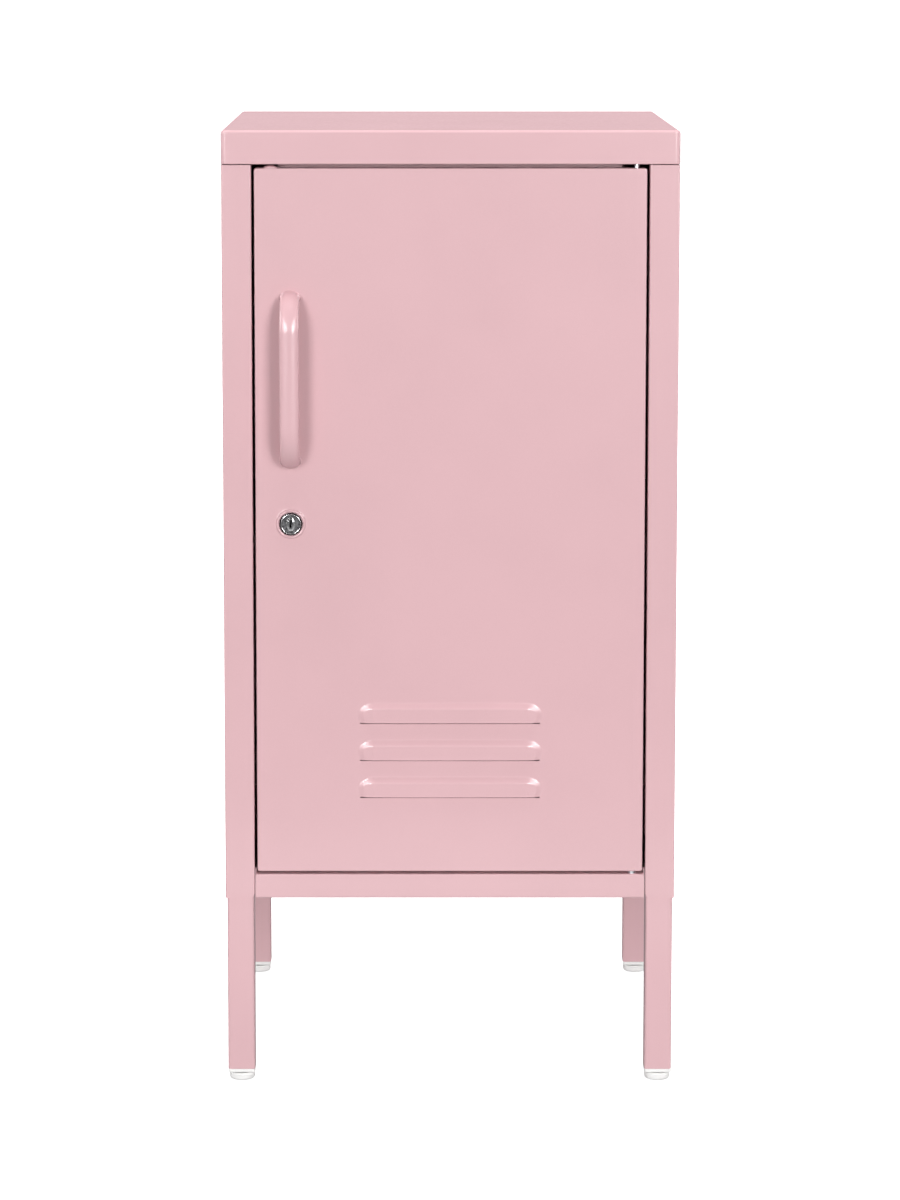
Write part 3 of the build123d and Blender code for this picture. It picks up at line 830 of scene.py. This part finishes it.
def door_skin():
    """The folded door, with its louvres and the pressed ring around the lock."""
    t = sheet_thickness
    inner_face = body_front + t
    edge_x = door_half - door_corner
    z0, z1 = door_bottom + door_corner, door_top - door_corner
    patch = [patch_half * math.tan(math.pi / 4 * k / patch_steps)
             for k in range(-patch_steps, patch_steps + 1)]
    xs = [-edge_x, edge_x] + [lock_x + p for p in patch]
    for side in (-1, 1):
        xs += [side * x for x in spaced(louvre_half + 1.0, louvre_half - louvre_corner[0], 0.55)]
        xs += [side * x for x in (louvre_slot_half, *grid_columns)]
    xs += [far_column]
    zs = [z0, z1] + [lock_z + p for p in patch] + grid_rows
    for lip in louvre_lips:
        zs += [lip - louvre_gap] + spaced(lip, lip + louvre_height, 0.6)
    xs, zs = merged(xs), merged(zs)

    def lip_of(z):
        for lip in louvre_lips:
            if lip - 0.01 <= z <= lip + louvre_height + 0.01:
                return lip
        return None

    def height(x, z):
        lip = lip_of(z)
        return 0.0 if lip is None else hood(x, z - lip)

    outer = [[(x, body_front - height(x, z), z) for z in zs] for x in xs]
    inner = [[(x, inner_face - height(x, z), z) for z in zs] for x in xs]

    def state(i, j):
        x = (xs[i] + xs[i + 1]) / 2
        z = (zs[j] + zs[j + 1]) / 2
        if abs(x - lock_x) < patch_half and abs(z - lock_z) < patch_half:
            return PATCH
        in_slot = any(lip - louvre_gap < z < lip for lip in louvre_lips)
        return CUT if in_slot and abs(x) < louvre_slot_half else KEEP

    shell = Shell()
    sheet(shell, outer, inner, state, PATCH)

    # the round patch at the lock, from the square around it to the bore
    square = [(p, -patch_half) for p in patch[:-1]] + [(patch_half, p) for p in patch[:-1]]
    square += [(-p, patch_half) for p in patch[:-1]] + [(-patch_half, -p) for p in patch[:-1]]
    loops = {}
    for layer, face in (("outer", body_front), ("inner", inner_face)):
        rows = [[(lock_x + a, face, lock_z + b) for a, b in square]]
        for radius, rise in collar_profile():
            row = []
            for a, b in square:
                length = math.hypot(a, b)
                row.append((lock_x + a / length * radius, face - rise,
                            lock_z + b / length * radius))
            rows.append(row)
        loops[layer] = [shell.add(row) for row in rows]
        for a, b in zip(loops[layer], loops[layer][1:]):
            shell.bridge(a, b)
    shell.bridge(loops["outer"][-1], loops["inner"][-1])

    # the folded sides and the lips behind them
    arc_steps = 4

    def rim_loop(inset, y):
        r = max(door_corner - inset, 0.0)
        half = door_half - inset
        low, high = door_bottom + inset, door_top - inset

        def fit(value, a, b):
            return min(max(value, a), b)

        run_x = [fit(x, -half + r, half - r) for x in xs]
        run_z = [fit(z, low + r, high - r) for z in zs]
        outline = [(x, low) for x in run_x]
        outline += arc(half - r, low + r, r, -90, 0, arc_steps)[1:-1]
        outline += [(half, z) for z in run_z]
        outline += arc(half - r, high - r, r, 0, 90, arc_steps)[1:-1]
        outline += [(x, high) for x in reversed(run_x)]
        outline += arc(-half + r, high - r, r, 90, 180, arc_steps)[1:-1]
        outline += [(-half, z) for z in reversed(run_z)]
        outline += arc(-half + r, low + r, r, 180, 270, arc_steps)[1:-1]
        return shell.add([(x, y, z) for x, z in outline])

    rims = [rim_loop(door_corner, body_front)]
    for a, b in arc(door_fold, body_front + door_fold, door_fold, 270, 180, 5):
        rims.append(rim_loop(a, b))
    for a, b in arc(door_fold, door_back - door_fold, door_fold, 180, 90, 4):
        rims.append(rim_loop(a, b))
    rims.append(rim_loop(door_lip, door_back))
    rims.append(rim_loop(door_lip, door_back - t))
    rims.append(rim_loop(t, door_back - t))
    rims.append(rim_loop(t, inner_face))
    rims.append(rim_loop(door_corner, inner_face))
    for a, b in zip(rims, rims[1:]):
        shell.bridge(a, b)
    return piece("door_skin", shell, pink, "door", ["door_panel"],
                 smooth_angle=32)


door_skin()


def buffer_dome():
    """A soft dome on the door's top edge."""
    x = (buffer_low[0] + buffer_high[0]) / 2
    y = (buffer_low[1] + buffer_high[1]) / 2
    base = (buffer_high[0] - buffer_low[0]) / 2
    rise = buffer_high[2] - buffer_low[2]
    rim = 0.25
    steps = 8
    profile = [(0.0, buffer_low[2]), (base, buffer_low[2]), (base, buffer_low[2] + rim)]
    for k in range(1, steps + 1):
        angle = math.pi / 2 * k / steps
        profile.append((base * math.cos(angle), buffer_low[2] + rim
                        + (rise - rim) * math.sin(angle)))
    shell = Shell()
    shell.loft([ring_z(x, y, r, z, 40) for r, z in profile])
    return piece("buffer_dome", shell, pink, "door", ["door_buffer"])


buffer_dome()


# ---- Handle -----------------------------------------------------------------------------------
def oval(half_a, half_b, squareness, count):
    """A superellipse: 2 is an ellipse, and larger values have flatter sides."""
    outline = []
    for k in range(count):
        angle = 2 * math.pi * (k + 0.5) / count
        c, s = math.cos(angle), math.sin(angle)
        scale = (abs(c) ** squareness + abs(s) ** squareness) ** (-1 / squareness)
        outline.append((half_a * c * scale, half_b * s * scale))
    return outline


def handle_bar():
    """A flat oval bar bent into a D pull, with flared feet."""
    width, thickness = 14.8, 9.7
    foot_width = handle_high[0] - handle_low[0]
    flare = 6.0
    x = (handle_low[0] + handle_high[0]) / 2
    bar_y = handle_low[1] + thickness / 2
    bend = 24.85
    foot_half = (thickness + foot_width - width) / 2
    low, high = handle_low[2] + foot_half, handle_high[2] - foot_half
    bend_steps = 24
    # centre line points: (y, z, heading y, heading z)
    line = []
    straight = body_front - (bar_y + bend)
    for k in range(3):
        line.append((body_front - straight * k / 3, high, -1.0, 0.0))
    for k in range(bend_steps + 1):
        angle = math.pi / 2 * k / bend_steps
        line.append((bar_y + bend * (1 - math.sin(angle)), high - bend * (1 - math.cos(angle)),
                     -math.cos(angle), -math.sin(angle)))
    upper_half = list(line)
    middle = (low + high) / 2
    for y, z, heading_y, heading_z in reversed(upper_half):
        line.append((y, 2 * middle - z, -heading_y, heading_z))
    shell = Shell()
    loops = []
    for y, z, heading_y, heading_z in line:
        out = max(0.0, 1.0 - (body_front - y) / flare)
        swell = out * out * (foot_width - width) / 2
        section = oval(width / 2 + swell, thickness / 2 + swell, 2.5 - 0.5 * out, 48)
        # the section's second axis is square to the path, in the Y-Z plane
        axis_y, axis_z = -heading_z, heading_y
        loops.append([(x + a, y + b * axis_y, z + b * axis_z) for a, b in section])
    shell.loft(loops)
    return piece("handle_bar", shell, pink, "door", ["handle"],
                 smooth_angle=40)


handle_bar()


# ---- Lock -------------------------------------------------------------------------------------
def lock_flange():
    """The black flange and barrel."""
    front = flange_low[1]
    back = limits("lock_housing")[1][1]
    outer = 8.8
    barrel = 8.0
    bore = 5.6
    recess = 0.4
    edge = 0.45
    profile = [(7.15, front + recess), (7.75, front), (8.35, front)]
    profile += arc(outer - edge, front + edge, edge, 270, 360, 4)[1:]
    profile += [(outer, body_front), (barrel, body_front), (barrel, back), (bore, back),
                (bore, front + recess)]
    shell = Shell()
    shell.loft([ring_y(lock_x, lock_z, radius, y, 64) for radius, y in profile], close=True)
    return piece("lock_flange", shell, black_zinc, "door", ["lock_housing"])


def bright_rim():
    """A narrow bright ring with a rounded crown."""
    inner = 7.13
    outer = (rim_high[0] - rim_low[0]) / 2
    front, back = rim_low[1], rim_high[1]
    crown = (outer - inner) / 2
    profile = [(inner, back)] + arc(inner + crown, front + crown, crown, 180, 360, 8)
    profile += [(outer, back)]
    shell = Shell()
    shell.loft([ring_y(lock_x, lock_z, radius, y, 72) for radius, y in profile], close=True)
    return piece("bright_rim", shell, chrome, "door", ["lock_rim"])


def ellipse_y(half_x, half_z, y, count):
    turn = 2 * math.pi / count
    return [(lock_x + half_x * math.cos(k * turn), y, lock_z + half_z * math.sin(k * turn))
            for k in range(count)]


def plug_core():
    """The turning face with its shallow tool marks, the core behind it and the cam's square."""
    front = plug_low[1]
    count = 64
    core, face = 5.55, 7.05
    face_thickness = 0.8
    drive_front = plug_high[1] - 2.0
    well_x, well_z = 2.5, 3.9
    well_back = front + 9.0
    loops = [ellipse_y(well_x, well_z, well_back, count),
             ellipse_y(well_x, well_z, front + 0.1, count), ellipse_y(2.6, 4.1, front, count)]
    for radius, y in ((6.0, front), (6.25, front + 0.06), (6.5, front), (6.8, front),
                      (face, front + 0.25), (face, front + face_thickness),
                      (core, front + face_thickness), (core, drive_front)):
        loops.append(ring_y(lock_x, lock_z, radius, y, count))
    shell = Shell()
    shell.loft(loops)
    drive = 3.5
    outline = rounded_rectangle(lock_x - drive, lock_x + drive, lock_z - drive, lock_z + drive, 0.3)
    shell.loft([[(x, y, z) for x, z in outline] for y in (drive_front, plug_high[1])])
    return piece("plug_core", shell, dark_zinc, "lock_core", ["lock_plug"])


def keyway_insert():
    """The bright faceted insert, with a dark flat around an S-shaped keyway."""
    front, back = shutter_low[1], shutter_high[1]
    half_x = (shutter_high[0] - shutter_low[0]) / 2
    half_z = (shutter_high[2] - shutter_low[2]) / 2
    rise = 0.35
    well_depth = 6.0

    def octagon(x, z, flat, waist):
        return [(x, -waist), (x, waist), (flat, z), (-flat, z),
                (-x, waist), (-x, -waist), (-flat, -z), (flat, -z)]

    def reach(outline, angle):
        """Where a ray from the keyway's centre meets an outline."""
        ray_x, ray_z = math.cos(angle), math.sin(angle)
        for (ax, az), (bx, bz) in zip(outline, outline[1:] + outline[:1]):
            edge_x, edge_z = bx - ax, bz - az
            across = ray_x * edge_z - ray_z * edge_x
            away = (ax * edge_z - (az - rise) * edge_x) / across
            along = (ax * ray_z - (az - rise) * ray_x) / across
            if away > 0 and -1e-6 <= along <= 1 + 1e-6:
                return ray_x * away, rise + ray_z * away

    # the keyway: two round lobes, shifted sideways from each other. A larger shift would fold the
    # flat around it over itself.
    shift = 0.23
    lobe_rise = 2.45
    lobe_half = 0.66
    waist_cut = 0.12
    centre = []
    steps = 24
    for k in range(steps + 1):
        up = -1.0 + 2.0 * k / steps
        centre.append((shift * math.sin(up * math.pi * 0.9), up * lobe_rise + rise,
                       lobe_half - waist_cut * math.cos(up * math.pi)))
    right = [(x + half, z) for x, z, half in centre]
    left = [(x - half, z) for x, z, half in centre]
    x_top, z_top, half_top = centre[-1]
    x_low, z_low, half_low = centre[0]
    slot = right + arc(x_top, z_top, half_top, 0, 180, 8)[1:-1] + left[::-1]
    slot += arc(x_low, z_low, half_low, 180, 360, 8)[1:-1]

    angles = [math.atan2(z - rise, x) + 1e-4 for x, z in slot]
    base = [reach(octagon(half_x, half_z, 1.5, 1.6), angle) for angle in angles]
    top = [reach(octagon(1.75, half_z - 1.3, 1.05, 1.5), angle) for angle in angles]
    # a closed cup around the keyway keeps the back of the insert out of it
    socket = [(x * 1.12, rise + (z - rise) * 1.06) for x, z in slot]
    layers = ((socket, front + well_depth + 0.2), (socket, back + 0.2), (base, back + 0.2),
              (base, back - 0.12), (top, front), (slot, front), (slot, front + well_depth))
    shell = Shell()
    shell.loft([[(lock_x + x, y, lock_z + z) for x, z in outline] for outline, y in layers])
    obj = piece("keyway_insert", shell, chrome, "lock_core", ["lock_shutter"],
                smooth_angle=12)
    obj.data.materials.append(dark_zinc)
    obj.data.materials.append(keyway_painted_shade)
    # faces more than 1 mm deep in the keyway get the near-black material, which is painted shade
    for polygon in obj.data.polygons:
        depth = polygon.center[1] / MM - front
        if depth > 1.0:
            polygon.material_index = 2
        elif depth < 0.01:
            polygon.material_index = 1
    return obj


lock_flange()
bright_rim()
plug_core()
keyway_insert()


# ---- Materials of the CAD pieces that stay ----------------------------------------------------
by_slot = {
    "pink_powder_coat": pink,
    "zinc_steel": zinc,
    "bright_chrome": chrome,
    "black_zinc": black_zinc,
    "dark_zinc": dark_zinc,
    "white_plastic": white_plastic,
    "bush_plastic": bush_plastic,
    "catch_plastic": catch_plastic,
    "ferrite": ferrite,
}
for name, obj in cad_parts.items():
    chosen = None
    for slot in obj.material_slots:
        base = slot.material.name.split(".")[0] if slot.material else ""
        chosen = by_slot.get(base, chosen)
        slot.material = chosen or pink


# ---- Floor, light and camera ------------------------------------------------------------------
def stage_floor():
    """A wide pale floor. Its bounce light comes from the world below the horizon instead."""
    material, tree, shader, place = start_material("pale_floor")
    soft = noise(tree, place, 0.8, 3.0)
    tone = ramp(tree, soft, [(0.3, (0.42, 0.42, 0.42)), (0.7, (0.44, 0.44, 0.44))])
    tree.links.new(tone, shader.inputs["Base Color"])
    shader.inputs["Emission Color"].default_value = (1.0, 1.0, 1.0, 1.0)
    shader.inputs["Emission Strength"].default_value = 0.90
    shader.inputs["Roughness"].default_value = 0.9
    shader.inputs["Specular IOR Level"].default_value = 0.1
    mesh = bpy.data.meshes.new("studio_floor")
    work = bmesh.new()
    bmesh.ops.create_circle(work, cap_ends=True, segments=96, radius=32.0)
    work.to_mesh(mesh)
    work.free()
    floor = bpy.data.objects.new("studio_floor", mesh)
    bpy.context.scene.collection.objects.link(floor)
    floor.data.materials.append(material)
    floor.visible_diffuse = False
    floor.visible_glossy = False


def studio_backdrop():
    """A white dome that only the camera sees, so that it adds no light."""
    material, tree, shader, place = start_material("white_backdrop")
    tone = ramp(tree, noise(tree, place, 0.05), [(0.0, (0.0, 0.0, 0.0)), (1.0, (0.01, 0.01, 0.01))])
    tree.links.new(tone, shader.inputs["Base Color"])
    shader.inputs["Emission Color"].default_value = (1.0, 1.0, 1.0, 1.0)
    shader.inputs["Emission Strength"].default_value = 1.1
    mesh = bpy.data.meshes.new("studio_backdrop")
    work = bmesh.new()
    bmesh.ops.create_uvsphere(work, u_segments=48, v_segments=24, radius=30.0)
    work.to_mesh(mesh)
    work.free()
    dome = bpy.data.objects.new("studio_backdrop", mesh)
    bpy.context.scene.collection.objects.link(dome)
    dome.data.materials.append(material)
    for ray in ("diffuse", "glossy", "transmission", "volume_scatter", "shadow"):
        setattr(dome, f"visible_{ray}", False)


def studio_world(stops):
    """Grey light from all round: stops are (height of the direction from -1 to 1, brightness)."""
    world = bpy.data.worlds.new("studio")
    bpy.context.scene.world = world
    world.use_nodes = True
    tree = world.node_tree
    direction = tree.nodes.new("ShaderNodeTexCoord").outputs["Generated"]
    split = tree.nodes.new("ShaderNodeSeparateXYZ")
    tree.links.new(direction, split.inputs["Vector"])
    height = tree.nodes.new("ShaderNodeMapRange")
    height.inputs["From Min"].default_value = -1.0
    tree.links.new(split.outputs["Z"], height.inputs["Value"])
    tone = ramp(tree, height.outputs["Result"],
                [((z + 1) / 2, (level, level, level)) for z, level in stops])
    tree.links.new(tone, tree.nodes["Background"].inputs["Color"])


def softbox(name, azimuth, elevation, distance, width, height, power, aim=0.5, shine_only=False,
            shiny=True):
    """A rectangular light that faces the cabinet's front at the height of its aim. Azimuth 0 is
    straight in front. A light that is only for shine shows in glossy surfaces and adds nothing
    else, and one that isn't shiny doesn't show in them."""
    light = bpy.data.lights.new(name, "AREA")
    light.shape = "RECTANGLE"
    light.size = width
    light.size_y = height
    light.energy = power
    obj = bpy.data.objects.new(name, light)
    target = (0.0, body_front * MM, aim)
    a, e = math.radians(azimuth), math.radians(elevation)
    away = (math.sin(a) * math.cos(e), -math.cos(a) * math.cos(e), math.sin(e))
    obj.location = [target[k] + away[k] * distance for k in range(3)]
    obj.rotation_euler = (math.pi / 2 - e, 0.0, a)
    obj.visible_camera = False
    obj.visible_diffuse = not shine_only
    obj.visible_glossy = shiny
    bpy.context.scene.collection.objects.link(obj)


def sky_light(name, strength, spread_degrees, lean):
    """Even light from above that leans by an angle towards the back."""
    light = bpy.data.lights.new(name, "SUN")
    light.energy = strength
    light.angle = math.radians(spread_degrees)
    obj = bpy.data.objects.new(name, light)
    obj.location = (0.0, 0.0, 4.0)
    obj.rotation_euler = (-math.radians(lean), 0.0, 0.0)
    obj.visible_glossy = False
    bpy.context.scene.collection.objects.link(obj)


stage_floor()
studio_backdrop()
studio_world([(-1.0, 0.62), (-0.50, 0.50), (-0.12, 0.15), (0.0, 0.06), (1.0, 0.06)])
for side, label, power in ((-1, "left", 94.0), (1, "right", 117.0)):
    softbox(f"key_{label}", side * 20.0, 12.0, 4.5, 1.0, 1.8, power)
    softbox(f"kicker_{label}", side * 37.0, 22.0, 3.0, 1.2, 1.5, 44.0, shine_only=True)
    softbox(f"side_{label}", side * 100.0, 14.0, 4.5, 1.6, 2.0, 75.0)
softbox("back_glow", 180.0, 8.0, 4.0, 6.0, 4.0, 10.0, shine_only=True)
softbox("rear", 180.0, 14.0, 4.5, 2.4, 2.0, 110.0, shiny=False)
softbox("low_fill", 0.0, 0.0, 0.4, 0.7, 0.08, 0.22, aim=0.06)
sky_light("overhead", 4.6, 60.0, 14.0)

camera_tilt = 7.318
camera_data = bpy.data.cameras.new("camera")
camera_data.lens = 115.9
camera_data.sensor_width = 36.0
camera_data.shift_x = 0.0243
camera_data.shift_y = -0.13
camera_data.clip_end = 500.0
camera = bpy.data.objects.new("camera", camera_data)
camera.location = (-0.0226, -3.10, 0.8815)
camera.rotation_euler = (math.radians(90.0 - camera_tilt), 0.0, 0.0)
bpy.context.scene.collection.objects.link(camera)
bpy.context.scene.camera = camera
bpy.context.scene.view_settings.view_transform = "Standard"
